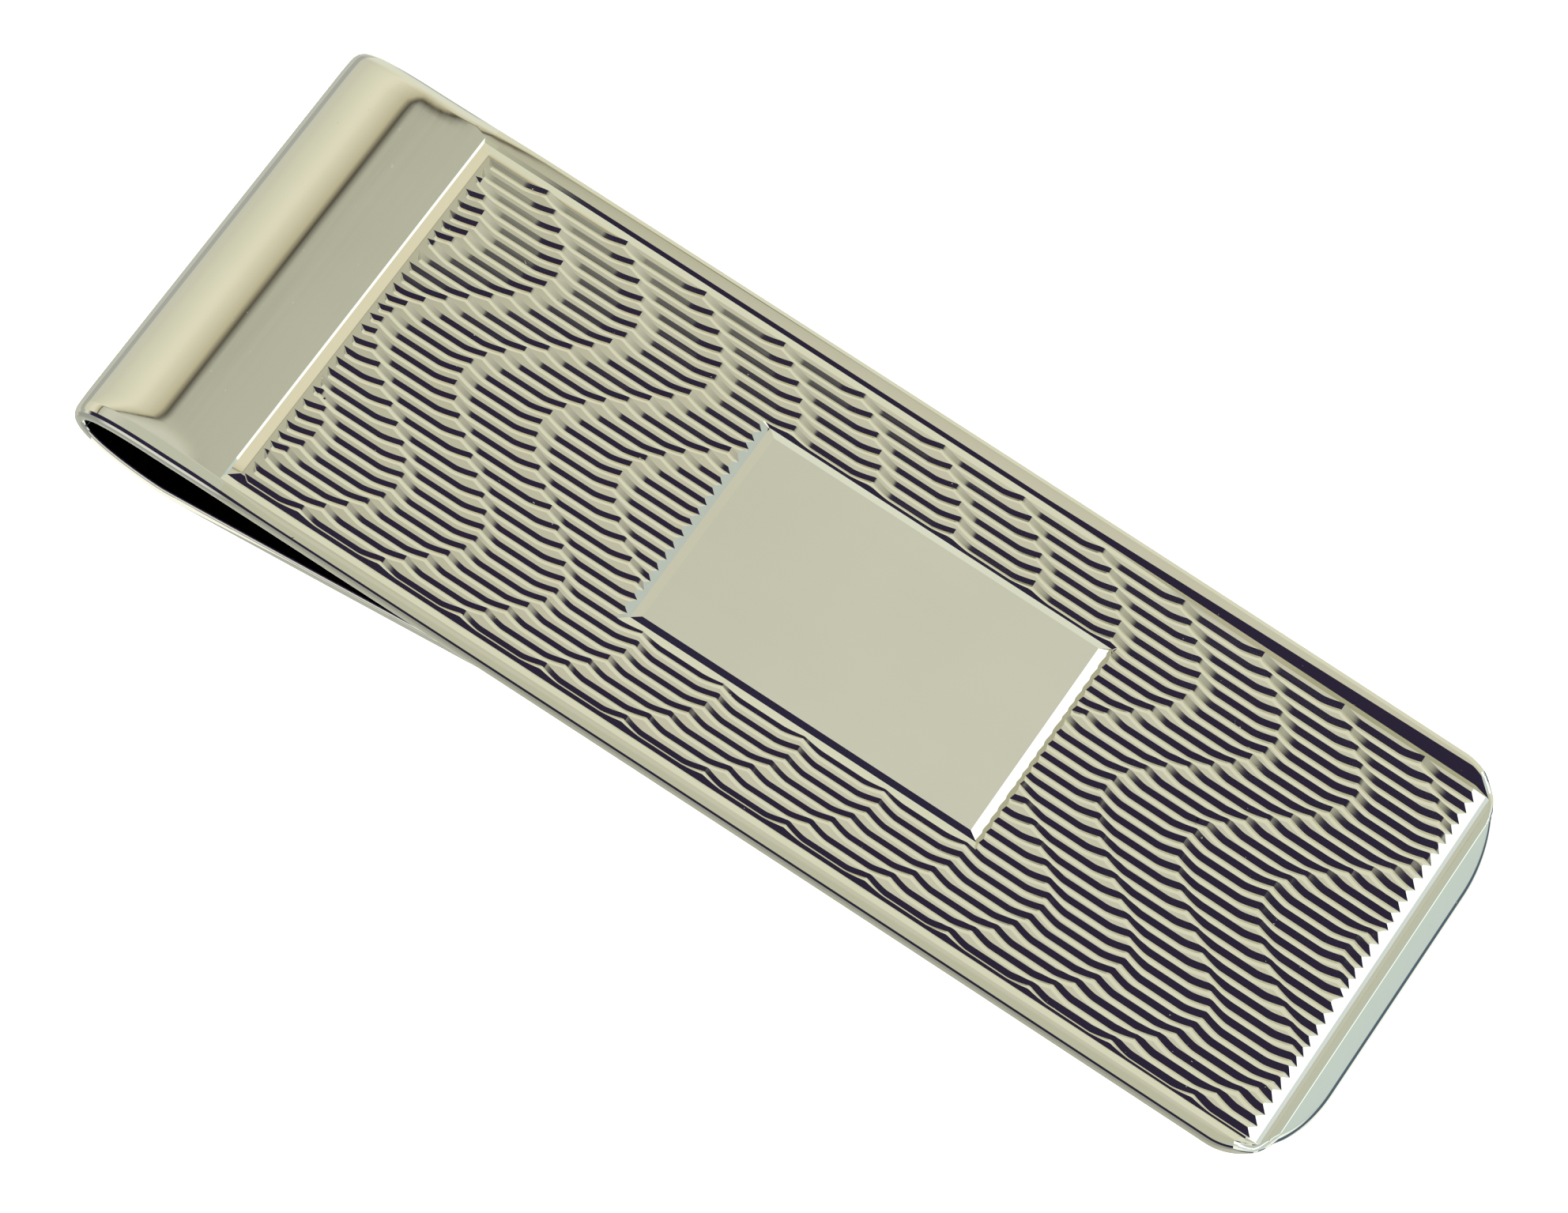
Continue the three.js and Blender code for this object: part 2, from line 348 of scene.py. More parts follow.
def outline(stations, half_widths, end_direction=0, across=24):
    """A loop round part of the strip, as its points (u, y) and their outward directions. It
    starts and finishes at the first station. end_direction is +1 or -1 where the strip ends at
    the last station, and 0 where the next piece carries on from there."""
    side = np.stack([stations, half_widths], 1)
    run = np.gradient(side, axis=0)
    turn = np.sign(stations[-1] - stations[0])
    out = np.stack([-run[:, 1], run[:, 0]], 1) * turn
    out /= np.linalg.norm(out, axis=1, keepdims=True)
    if end_direction:
        out[-1] = (end_direction, 0)
        y = np.linspace(half_widths[-1], -half_widths[-1], across + 1)[1:-1]
        end = np.stack([np.full_like(y, stations[-1]), y], 1)
        end_out = np.tile([float(end_direction), 0.0], (len(y), 1))
    else:
        end, end_out = np.zeros((0, 2)), np.zeros((0, 2))
    flip = np.array([1, -1])
    loop = np.vstack([side, end, side[::-1] * flip])
    directions = np.vstack([out, end_out, out[::-1] * flip])
    return loop, directions


def opening_sides(inside):
    """The vertices along the four sides of the opening between cross lines, sorted."""
    return {
        "left": inside[0][::-1],
        "right": inside[-1][::-1],
        "top": [line[0] for line in inside],
        "bottom": [line[-1] for line in inside],
    }


def ribbon(bm, stations, half_widths, end_direction=0, gap=None, across=24):
    """Part of the strip, with rounded edges. Between the two values of u in gap its outer face
    is left open, and the vertices along that opening's four sides are returned."""
    loop, out = outline(stations, half_widths, end_direction, across)
    width, drop = arris_size(loop[:, 0])
    turns = np.radians(ARRIS_TURNS)
    rings = []
    for turn in turns:
        flat = loop - out * (width * (1 - math.sin(turn)))[:, None]
        rings.append((flat, -drop * (1 - math.cos(turn)) - lip_step(loop[:, 0])))
    for turn in turns[::-1]:
        flat = loop - out * INNER_ARRIS * (1 - math.sin(turn))
        rings.append((flat, np.full(len(loop), -SHEET + INNER_ARRIS * (1 - math.cos(turn)))))
    edge_fall = crown(loop[:, 0], HALF_WIDTH, HALF_WIDTH)
    rows = [
        [bm.verts.new((u, y, h)) for (u, y), h in zip(flat, hs - edge_fall)] for flat, hs in rings
    ]
    open_ended = not end_direction
    sides = len(stations)
    for upper, lower in zip(rows, rows[1:]):
        for k in range(len(loop) - 1):
            if open_ended and k == sides - 1:
                continue
            bm.faces.new((upper[k], upper[k + 1], lower[k + 1], lower[k]))
    opening = {}
    for row, height in ((rows[0], 0), (rows[-1], -SHEET)):
        lines = []
        for k in range(sides):
            start, end = row[k], row[-1 - k]
            if k == sides - 1 and end_direction:
                inside = row[sides : sides + across - 1]
            else:
                ys = start.co.y * np.cos(np.arange(1, across) / across * math.pi)
                falls = crown(start.co.x, ys, half_widths[k])
                if height == 0:
                    falls = falls + lip_step(start.co.x)
                inside = [bm.verts.new((start.co.x, y, height - f)) for y, f in zip(ys, falls)]
            lines.append([start, *inside, end])
        for one, two, from_u, to_u in zip(lines, lines[1:], stations, stations[1:]):
            if gap and height == 0 and gap[0] < (from_u + to_u) / 2 < gap[1]:
                continue
            for a, b, c, d in zip(one, one[1:], two[1:], two):
                bm.faces.new((a, b, c, d))
        if gap and height == 0:
            first, last = (np.argmin(abs(stations - g)) for g in gap)
            opening = opening_sides(lines[first : last + 1])
            loose = [v for line in lines for v in line[1:-1] if not v.link_edges]
            bmesh.ops.delete(bm, geom=loose, context="VERTS")
    return opening


def outer_x(u):
    return np.interp(u, LINE_U, LINE_X) + SHEET / 2 * np.sin(
        np.interp(u, LINE_U, LINE_HEADING)
    )


def front_half_width(u):
    """Half the plate's width at u, with the lip's rounded corners."""
    end = outer_x(np.array([LIP_U]))[0]
    into = (outer_x(u) - (end - LIP_CORNER_LENGTH)) / LIP_CORNER_LENGTH
    round_off = 1 - np.sqrt(1 - np.clip(into, 0, 1) ** 2)
    return HALF_WIDTH - LIP_CORNER_WIDTH * round_off


# ---- Engine turning ----


def peak(x, row_y):
    """How far the row that starts at row_y is pushed towards +Y at x."""
    middle = PEAK_X - WAVE_SWING * np.cos(2 * math.pi * row_y / WAVE_LENGTH)
    off = (x - middle + PEAK_PERIOD / 2) % PEAK_PERIOD - PEAK_PERIOD / 2
    return PEAK_HEIGHT * np.maximum(1 - np.abs(off) / PEAK_REACH, 0) ** PEAK_POWER


def cut_size(x):
    """The size of the cuts at x, as a share of the size near the fold, where they run out."""
    run_out = smooth_step((x - RUN_OUT_X) / RUN_OUT_LENGTH)
    return run_out * (1 + CUT_DEEPER * smooth_step((x - PANEL_X) / (LIP_X - PANEL_X)))


def row_top(row):
    return FIRST_ROW_Y - ROW_PITCH * row


def turned_lines():
    """Each crest or valley line of the turned field, from +Y to -Y, as (u, y, height)."""
    start, end = BORDER["left"][1] - COLUMN, BORDER["right"][1] + COLUMN
    x = np.linspace(start, end, int((end - start) / COLUMN))
    near_width, far_width, depth = (s * cut_size(x) for s in (NEAR_FLANK, FAR_FLANK, CUT_DEPTH))

    def crest(cut_above):
        """Where the far flank of one cut meets the near flank of the next, or None."""
        upper, lower = row_top(cut_above), row_top(cut_above + 1)
        far_edge = upper + peak(x, upper) - near_width - far_width
        near_edge = lower + peak(x, lower)
        ridge = (far_edge * NEAR_FLANK + near_edge * FAR_FLANK) / (NEAR_FLANK + FAR_FLANK)
        height = -CUT_DEPTH / NEAR_FLANK * (near_edge - ridge)
        crossed = near_edge > far_edge
        return (
            np.where(crossed, ridge, far_edge),
            np.where(crossed, ridge, near_edge),
            np.where(crossed, height, 0),
        )

    flat = np.zeros_like(x)
    lines = [(x, flat + BORDER["top"][2] + FIELD_MARGIN, flat)]
    for row in range(ROWS):
        start_y = row_top(row) + peak(x, row_top(row))
        near, near_height = start_y, flat
        if row:
            _, near, near_height = crest(row - 1)
        far, far_height = start_y - near_width - far_width, flat
        if row < ROWS - 1:
            far, _, far_height = crest(row)
        lines.append((x, near, near_height))
        lines.append((x, start_y - near_width, -depth))
        lines.append((x, far, far_height))
    lines.append((x, flat + BORDER["bottom"][2] - FIELD_MARGIN, flat))
    return [np.stack(line, 1) for line in lines]


def flank(side, edge, deepest, depth):
    """(point, normal) of the sloping plane that cuts the field, which lies below it."""
    slope = depth / abs(deepest - edge)
    away = math.copysign(slope, deepest - edge)
    if side in ("left", "right"):
        return Vector((deepest, 0, -depth)), Vector((away, 0, 1))
    return Vector((0, deepest, -depth)), Vector((0, away, 1))


def over(point, plane):
    """How far a point lies above a flank's plane."""
    return (point - plane[0]).dot(plane[1])


def engraved_ring(bm, edges, sides, planes):
    """Goes down one flank from these edges and up the other, and returns the far edges."""

    def side_of(edge):
        middle = (edge.verts[0].co + edge.verts[1].co) / 2
        return min(sides, key=lambda s: abs(over(middle, planes[s])))

    touching = {}
    for edge in edges:
        for vertex in edge.verts:
            touching.setdefault(vertex, set()).add(side_of(edge))

    def moved(vertex, which):
        spot = vertex.co.copy()
        for side in touching[vertex]:
            if side in ("left", "right"):
                spot.x = sides[side][which]
            else:
                spot.y = sides[side][which]
        spot.x = min(max(spot.x, sides["left"][which]), sides["right"][which])
        spot.y = min(max(spot.y, sides["bottom"][which]), sides["top"][which])
        depth_of = {side: sides[side][3] for side in touching[vertex]}
        if sides is BORDER and "top" in depth_of:
            depth_of["top"] = np.interp(spot.x, TOP_CUT_X, TOP_CUT_DEPTH)
        if sides is BORDER and which == 2 and spot.y > sides["top"][2] - 1e-6:
            spot.y = np.interp(spot.x, TOP_CUT_X, TOP_CUT_EDGE)
        limit = front_half_width(spot.x) - arris_size(spot.x)[0] - RIM_LEAST
        spot.y = min(max(spot.y, -limit), limit)
        depths = depth_of.values()
        spot.z = -max(sum(depths) / len(depths) if which == 1 else 0, lip_step(spot.x))
        key = tuple(round(c, 3) for c in spot)
        if key not in made:
            made[key] = bm.verts.new(spot)
        return made[key]

    made = {}
    deep = {v: moved(v, 1) for v in touching}
    far = {v: moved(v, 2) for v in touching}
    for edge in edges:
        a, b = edge.verts
        add_face(bm, (a, b, deep[b], deep[a]))
        add_face(bm, (deep[a], deep[b], far[b], far[a]))

    def line_at(side):
        axis = 1 if side in ("left", "right") else 0
        return sorted({far[v] for v in touching if side in touching[v]}, key=lambda v: v.co[axis])

    return {side: line_at(side) for side in sides}


def add_face(bm, corners):
    """A face through these vertices, with any that repeat left out."""
    kept = list(dict.fromkeys(corners))
    if len(kept) > 2 and not bm.faces.get(kept):
        bm.faces.new(kept)


def join_lines(bm, one, two, axis):
    """Flat triangles between two lines of vertices that both rise along this axis."""
    i = j = 0
    while i < len(one) - 1 or j < len(two) - 1:
        step_one = j == len(two) - 1 or (
            i < len(one) - 1 and one[i + 1].co[axis] < two[j + 1].co[axis]
        )
        third = one[i + 1] if step_one else two[j + 1]
        add_face(bm, (one[i], two[j], third))
        i, j = (i + 1, j) if step_one else (i, j + 1)


def fill_between(bm, inner, outer):
    """Flat faces between two rectangles, each given as its four sorted sides."""
    for side in inner:
        along = 1 if side in ("left", "right") else 0
        join_lines(bm, inner[side], outer[side], along)


def turned_field(bm):
    """The engine-turned field with its engraved border, and the blank panel inside it.
    Returns the vertices along the border's outer sides."""
    lines = [[bm.verts.new(p) for p in line] for line in turned_lines()]
    for one, two in zip(lines, lines[1:]):
        for a, b, c, d in zip(one, one[1:], two[1:], two):
            bm.faces.new((a, b, c, d))
    bmesh.ops.remove_doubles(bm, verts=bm.verts, dist=1e-5)
    outer = {s: flank(s, v[0], v[1], v[3]) for s, v in BORDER.items()}
    for point, normal in outer.values():
        geom = [*bm.verts, *bm.edges, *bm.faces]
        bmesh.ops.bisect_plane(
            bm, geom=geom, dist=1e-6, plane_co=point, plane_no=normal, clear_outer=True
        )
    inner = {s: flank(s, v[0], v[1], v[3]) for s, v in PANEL.items()}
    for point, normal in inner.values():
        near = [
            f
            for f in bm.faces
            if PANEL["left"][0] - 1 < f.calc_center_median().x < PANEL["right"][0] + 1
            and PANEL["bottom"][0] - 1 < f.calc_center_median().y < PANEL["top"][0] + 1
        ]
        geom = list({x for f in near for x in (f, *f.edges, *f.verts)})
        bmesh.ops.bisect_plane(bm, geom=geom, dist=1e-6, plane_co=point, plane_no=normal)
    hole = [
        f
        for f in bm.faces
        if all(over(f.calc_center_median(), plane) > 0 for plane in inner.values())
    ]
    bmesh.ops.delete(bm, geom=hole, context="FACES")
    rims = {True: [], False: []}
    for edge in bm.edges:
        if len(edge.link_faces) == 1:
            middle = (edge.verts[0].co + edge.verts[1].co) / 2
            inside = (
                PANEL["left"][0] - FIELD_MARGIN < middle.x < PANEL["right"][0] + FIELD_MARGIN
                and abs(middle.y) < PANEL["top"][0] + FIELD_MARGIN
            )
            rims[inside].append(edge)
    panel_sides = engraved_ring(bm, rims[True], PANEL, inner)
    low_x, high_x = PANEL["left"][2] + PANEL_INSET, PANEL["right"][2] - PANEL_INSET
    low_y, high_y = PANEL["bottom"][2] + PANEL_INSET, PANEL["top"][2] - PANEL_INSET
    corners = {
        (x, y): bm.verts.new((x, y, 0)) for x in (low_x, high_x) for y in (low_y, high_y)
    }
    middle = {
        "left": [corners[low_x, low_y], corners[low_x, high_y]],
        "right": [corners[high_x, low_y], corners[high_x, high_y]],
        "bottom": [corners[low_x, low_y], corners[high_x, low_y]],
        "top": [corners[low_x, high_y], corners[high_x, high_y]],
    }
    fill_between(bm, middle, panel_sides)
    bm.faces.new([*middle["bottom"], *middle["top"][::-1]])
    return engraved_ring(bm, rims[False], BORDER, outer)


# ---- Materials ----


def noise(tree, vector, scale, detail, name):
    node = tree.nodes.new("ShaderNodeTexNoise")
    node.name = name
    node.inputs["Scale"].default_value = scale
    node.inputs["Detail"].default_value = detail
    tree.links.new(vector, node.inputs["Vector"])
    return node.outputs["Fac"]


def stretched(tree, scale):
    """Object coordinates, stretched by these factors."""
    place = tree.nodes.new("ShaderNodeTexCoord")
    mapping = tree.nodes.new("ShaderNodeMapping")
    mapping.inputs["Scale"].default_value = scale
    tree.links.new(place.outputs["Object"], mapping.inputs["Vector"])
    return mapping.outputs["Vector"]


def ramp(tree, value, stops):
    node = tree.nodes.new("ShaderNodeValToRGB")
    elements = node.color_ramp.elements
    while len(elements) < len(stops):
        elements.new(0.5)
    for element, (position, colour) in zip(elements, stops):
        element.position = position
        element.color = (*colour, 1) if len(colour) == 3 else colour
    tree.links.new(value, node.inputs["Fac"])
    return node.outputs["Color"]


def grey(level):
    return (level, level, level)


CLOUD_SCALE = 260  # scales are in cells a metre
DUST_SCALE = 330
SPECK_SCALE = 5200
LINE_SCALE, LINE_STRETCH_SCALE = 2600, 120  # across and along the polish lines
LINE_HEIGHT, PIT_HEIGHT = 0.000004, 0.00001


def polished_metal(name, light, dark, smooth, dull, lines_along_y, bump):
    """Bright plate: fine polish lines, faint clouding, and a few specks."""
    material = bpy.data.materials.new(name)
    material.use_nodes = True
    tree = material.node_tree
    shader = tree.nodes["Principled BSDF"]
    shader.inputs["Metallic"].default_value = 1
    clouds = noise(tree, stretched(tree, (1, 1, 1)), CLOUD_SCALE, 3, "clouding")
    metal = ramp(tree, clouds, [(0.35, dark), (0.65, light)])
    dust = tree.nodes.new("ShaderNodeTexVoronoi")
    dust.inputs["Scale"].default_value = DUST_SCALE
    tree.links.new(stretched(tree, (1, 1, 1)), dust.inputs["Vector"])
    spot = ramp(tree, dust.outputs["Distance"], [(0.012, grey(0.04)), (0.02, grey(1))])
    dotted = tree.nodes.new("ShaderNodeMix")
    dotted.data_type = "RGBA"
    dotted.blend_type = "MULTIPLY"
    dotted.inputs[0].default_value = 1
    tree.links.new(metal, dotted.inputs[6])
    tree.links.new(spot, dotted.inputs[7])
    tree.links.new(dotted.outputs[2], shader.inputs["Base Color"])
    across, along = LINE_SCALE, LINE_STRETCH_SCALE
    stretch = (across, along, across) if lines_along_y else (along, across, across)
    polish = noise(tree, stretched(tree, stretch), 1, 2, "polish_lines")
    specks = noise(tree, stretched(tree, (1, 1, 1)), SPECK_SCALE, 1, "specks")
    tree.links.new(
        ramp(tree, polish, [(0.3, grey(smooth)), (0.8, grey(dull))]),
        shader.inputs["Roughness"],
    )
    lines = tree.nodes.new("ShaderNodeBump")
    lines.inputs["Strength"].default_value = bump
    lines.inputs["Distance"].default_value = LINE_HEIGHT
    tree.links.new(polish, lines.inputs["Height"])
    pits = tree.nodes.new("ShaderNodeBump")
    pits.inputs["Strength"].default_value = 0.5
    pits.inputs["Distance"].default_value = PIT_HEIGHT
    tree.links.new(
        ramp(tree, specks, [(0.16, grey(0)), (0.2, grey(1))]), pits.inputs["Height"]
    )
    tree.links.new(lines.outputs["Normal"], pits.inputs["Normal"])
    tree.links.new(pits.outputs["Normal"], shader.inputs["Normal"])
    return material


CREAM = (0.80, 0.785, 0.70)
WARM_GREY = (0.785, 0.77, 0.685)
TAN = (0.775, 0.745, 0.63)
DARK_TAN = (0.76, 0.73, 0.61)
turned_metal = polished_metal("turned_field", TAN, DARK_TAN, 0.03, 0.08, False, 0.15)
panel_metal = polished_metal("blank_panel", CREAM, WARM_GREY, 0.05, 0.1, False, 0.12)
strip_metal = polished_metal("polished_strip", CREAM, WARM_GREY, 0.02, 0.06, True, 0.06)


# ---- Pieces ----


def back_half_width(u):
    """Half the back spring's width at u, which narrows and then rounds off at its tip."""
    x = np.where(u < FOLD_U, np.interp(u, LINE_U, LINE_X), -30)
    corner_x = TIP_X - TIP_CORNER
    taper = np.clip((x - TAPER_X) / (corner_x - TAPER_X), 0, 1)
    into = np.clip((x - corner_x) / TIP_CORNER, 0, 1)
    round_off = 1 - np.sqrt(1 - into**2)
    return HALF_WIDTH - (HALF_WIDTH - TIP_HALF_WIDTH) * taper - TIP_CORNER * round_off


def ease_to_end(start, end, count):
    """Values from start to end that crowd together towards the end, for a rounded corner."""
    return start + (end - start) * np.sin(np.linspace(0, math.pi / 2, count))


def make_front():
    bm = bmesh.new()
    corner_u = np.interp(LIP_END_X - LIP_CORNER_LENGTH, LINE_X[~BACK], LINE_U[~BACK])
    stations = np.concatenate(
        [
            np.linspace(FOLD_U, SHOULDER_X + 0.5, 52)[:-1],
            np.linspace(SHOULDER_X + 0.5, RIM_LEFT_X, 8)[:-1],
            np.linspace(RIM_LEFT_X, corner_u, 60)[:-1],
            np.linspace(corner_u, BORDER["right"][0], 8)[:-1],
            np.linspace(*BORDER["right"][:2], 5),
            ease_to_end(RIM_RIGHT_X, LIP_U, 30),
            [LIP_X + share * LIP_LENGTH for share in LIP_CREASE],
        ]
    )
    stations.sort()
    gap = (RIM_LEFT_X, RIM_RIGHT_X)
    border = turned_field(bm)
    opening = ribbon(bm, stations, front_half_width(stations), 1, gap)
    fill_between(bm, border, opening)

    def material_of(centre):
        on_face = centre[:, 2] > DEEPEST_CUT
        in_field = (centre[:, 0] > BORDER["left"][1]) & (centre[:, 0] < BORDER["right"][0])
        in_panel = (
            (centre[:, 0] > PANEL["left"][0])
            & (centre[:, 0] < PANEL["right"][1])
            & (centre[:, 1] > PANEL["bottom"][1])
            & (centre[:, 1] < PANEL["top"][1])
        )
        return np.where(on_face & in_panel, 1, np.where(on_face & in_field, 0, 2))

    piece = finish_piece(
        bm, "front_strip", [turned_metal, panel_metal, strip_metal], material_of
    )
    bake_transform(piece)
    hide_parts("front_plate")
    return piece


def make_fold_back():
    bm = bmesh.new()
    stations = np.concatenate(
        [
            np.linspace(FOLD_U, back_u(FOLD_BOTTOM[0]), 60)[:-1],
            np.linspace(back_u(FOLD_BOTTOM[0]), back_u(FOLD_SEAM_X), 8),
        ]
    )
    ribbon(bm, stations, back_half_width(stations))
    piece = finish_piece(bm, "fold_back", [strip_metal])
    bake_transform(piece)
    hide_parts("fold_end", "spring_root")
    return piece


def make_spring():
    bm = bmesh.new()
    corner_u = back_u(TIP_X - TIP_CORNER)
    stations = np.concatenate(
        [
            np.linspace(back_u(FOLD_SEAM_X), corner_u, 70)[:-1],
            ease_to_end(corner_u, TIP_U, 30),
        ]
    )
    ribbon(bm, stations, back_half_width(stations), -1)
    piece = finish_piece(bm, "back_spring", [strip_metal])
    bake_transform(piece)
    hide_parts("spring_tongue")
    return piece


make_front()
make_fold_back()
make_spring()
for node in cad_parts.values():
    node.data.materials.clear()
    node.data.materials.append(strip_metal)


# ---- Floor, light and surroundings ----


def stage_object(name, bm, material):
    mesh = bpy.data.meshes.new(name)
    bm.to_mesh(mesh)
    bm.free()
    mesh.materials.append(material)
    thing = bpy.data.objects.new(name, mesh)
    bpy.context.scene.collection.objects.link(thing)
    return thing


def floor_material():
    material = bpy.data.materials.new("pale_floor")
    material.use_nodes = True
    shader = material.node_tree.nodes["Principled BSDF"]
    shader.inputs["Base Color"].default_value = (0.94, 0.94, 0.93, 1)
    shader.inputs["Roughness"].default_value = 0.9
    shader.inputs["Specular IOR Level"].default_value = 0.1
    return material


def glow(name):
    """An emission material and its tree."""
    material = bpy.data.materials.new(name)
    material.use_nodes = True
    tree = material.node_tree
    tree.nodes.remove(tree.nodes["Principled BSDF"])
    shader = tree.nodes.new("ShaderNodeEmission")
    tree.links.new(shader.outputs["Emission"], tree.nodes["Material Output"].inputs["Surface"])
    return material, tree, shader


def only_reflected(thing):
    """It is seen in the polished metal, and nowhere else."""
    thing.visible_camera = False
    thing.visible_diffuse = False
    thing.visible_shadow = False
    thing.visible_transmission = False


def axis_value(tree, name):
    place = tree.nodes.new("ShaderNodeTexCoord")
    split = tree.nodes.new("ShaderNodeSeparateXYZ")
    tree.links.new(place.outputs["Object"], split.inputs["Vector"])
    return split.outputs[name]


def mapped(tree, value, low, high, out_low=0.0, out_high=1.0):
    node = tree.nodes.new("ShaderNodeMapRange")
    node.interpolation_type = "SMOOTHSTEP"
    for key, number in (
        ("From Min", low),
        ("From Max", high),
        ("To Min", out_low),
        ("To Max", out_high),
    ):
        node.inputs[key].default_value = number
    tree.links.new(value, node.inputs["Value"])
    return node.outputs["Result"]


def mapped_linear(tree, value, low, high):
    node = tree.nodes.new("ShaderNodeMapRange")
    node.inputs["From Min"].default_value = low
    node.inputs["From Max"].default_value = high
    tree.links.new(value, node.inputs["Value"])
    return node.outputs["Result"]


def blended(tree, factor, first, second):
    node = tree.nodes.new("ShaderNodeMix")
    node.data_type = "RGBA"
    for socket, value in ((6, first), (7, second)):
        if isinstance(value, tuple):
            node.inputs[socket].default_value = (*value, 1)
        else:
            tree.links.new(value, node.inputs[socket])
    tree.links.new(factor, node.inputs[0])
    return node.outputs[2]


def worked_out(tree, operation, one, two):
    node = tree.nodes.new("ShaderNodeMath")
    node.operation = operation
    tree.links.new(one, node.inputs[0])
    tree.links.new(two, node.inputs[1])
    return node.outputs[0]


def times(tree, one, two):
    return worked_out(tree, "MULTIPLY", one, two)


def summed(tree, one, two):
    return worked_out(tree, "ADD", one, two)


FLOOR_Z = -60 * MM  # far enough below that no shadow shows, as in the photograph
FLOOR_RADIUS = 2.5
CARD_CORNERS = ((-26, -10.75), (14, -10.75), (14, -9.9), (-26, -9.9))
CARD_HEIGHT = -0.01
TENT_RADIUS = 3

# The tent's colour by its angle round the Y axis, in degrees from straight up towards +X.
TENT_ROUND_Y = [
    (-180, (0.6, 0.62, 0.56)),
    (-124, (0.6, 0.62, 0.57)),
    (-91, (0.67, 0.67, 0.62)),
    (-54, (0.72, 0.72, 0.6)),
    (-38, (0.8, 0.8, 0.65)),
    (-28, (0.88, 0.87, 0.71)),
    (-25, (0.92, 0.89, 0.73)),
    (-22.3, (0.9, 0.86, 0.7)),
    (-18.3, (0.75, 0.72, 0.56)),
    (-16, (0.65, 0.61, 0.46)),
    (-14.9, (0.58, 0.53, 0.34)),
    (-14.3, (0.08, 0.07, 0.05)),
    (-13.0, (0.08, 0.07, 0.06)),
    (-12.7, (0.56, 0.565, 0.48)),
    (-11.8, (0.6, 0.61, 0.505)),
    (-9, (0.67, 0.675, 0.58)),
    (-5.8, (0.72, 0.725, 0.635)),
    (0, (0.72, 0.73, 0.65)),
    (9, (0.63, 0.65, 0.55)),
    (36, (0.62, 0.66, 0.55)),
    (43, (0.6, 0.68, 0.7)),
    (45.5, (0.64, 0.73, 0.76)),
    (47, (1.5, 1.55, 1.6)),
    (53.5, (1.5, 1.55, 1.6)),
    (55, (0.68, 0.8, 0.78)),
    (68, (0.68, 0.79, 0.79)),
    (74.5, (0.6, 0.7, 0.7)),
    (92, (1.15, 1.2, 1.15)),
    (125, (1.15, 1.2, 1.15)),
    (180, (0.6, 0.62, 0.56)),
]
TENT_BACK = (0.87, 0.9, 0.79)
TENT_BACK_LOW = (0.9, 0.9, 0.84)
TENT_DARK = (0.03, 0.024, 0.06)
TENT_NEAR_LIGHT = (0.85, 0.86, 0.82)
TENT_NEAR_LOW = (0.4, 0.42, 0.4)
TENT_HORIZON = (0.1, 0.15, 0.22)
SEAM_TURN_NEAR = math.radians(28)  # the dark seam bends round near the strip's two edges
SEAM_TURN_FAR = math.radians(-4)
# Where the tent changes, as shares of its radius: from nothing of a change to all of it.
SEAM_NEAR_Y = (0.435, 0.3)
SEAM_FAR_Y = (0.487, 0.6)
BACK_LOW_Z = (0.03, -0.03)
BACK_Y = (0.62, 0.78)
HORIZON_FOOT_Z = (-0.2, -0.15)
HORIZON_HEAD_Z = (0.19, 0.16)
HORIZON_X = (0.3, 0.6)
HORIZON_LEAST = 0.35  # the horizon's strength on the fold's side
NEAR_LOW_Z = (0.04, -0.02)
NEAR_LIGHT_Z = (0.45, 0.3)
NEAR_Y = (-0.38, -0.55)


def make_tent():
    """A light tent all round, which only the metal reflects."""
    bm = bmesh.new()
    bmesh.ops.create_uvsphere(bm, u_segments=96, v_segments=48, radius=TENT_RADIUS)
    material, tree, shader = glow("tent_glow")
    x, y, z = (axis_value(tree, a) for a in "XYZ")

    def change(value, shares, start=0.0, end=1.0):
        low, high = (share * TENT_RADIUS for share in shares)
        return mapped(tree, value, low, high, start, end)

    angle = worked_out(tree, "ARCTAN2", x, z)
    near_turn = change(y, SEAM_NEAR_Y, 0, SEAM_TURN_NEAR)
    far_turn = change(y, SEAM_FAR_Y, 0, SEAM_TURN_FAR)
    bent = summed(tree, angle, summed(tree, near_turn, far_turn))
    turn = mapped_linear(tree, bent, -math.pi, math.pi)
    sky = ramp(tree, turn, [(d / 360 + 0.5, colour) for d, colour in TENT_ROUND_Y])
    back = blended(tree, change(z, BACK_LOW_Z), TENT_BACK, TENT_BACK_LOW)
    sky = blended(tree, change(y, BACK_Y), sky, back)
    line = times(tree, change(z, HORIZON_FOOT_Z), change(z, HORIZON_HEAD_Z))
    line = times(tree, line, change(x, HORIZON_X, HORIZON_LEAST, 1))
    sky = blended(tree, line, sky, TENT_HORIZON)
    low = blended(tree, change(z, NEAR_LOW_Z), TENT_NEAR_LIGHT, TENT_NEAR_LOW)
    near = blended(tree, change(z, NEAR_LIGHT_Z), TENT_DARK, low)
    sky = blended(tree, change(y, NEAR_Y), sky, near)
    tree.links.new(sky, shader.inputs["Color"])
    only_reflected(stage_object("light_tent", bm, material))


DARK_CENTRE = (0.087, -0.722, 0.288)
DARK_RADIUS = 0.606
DARK_SOFTNESS = 0.012
DARK_CUT = 0.3  # only the disc's part above this Y, in its own frame, is there


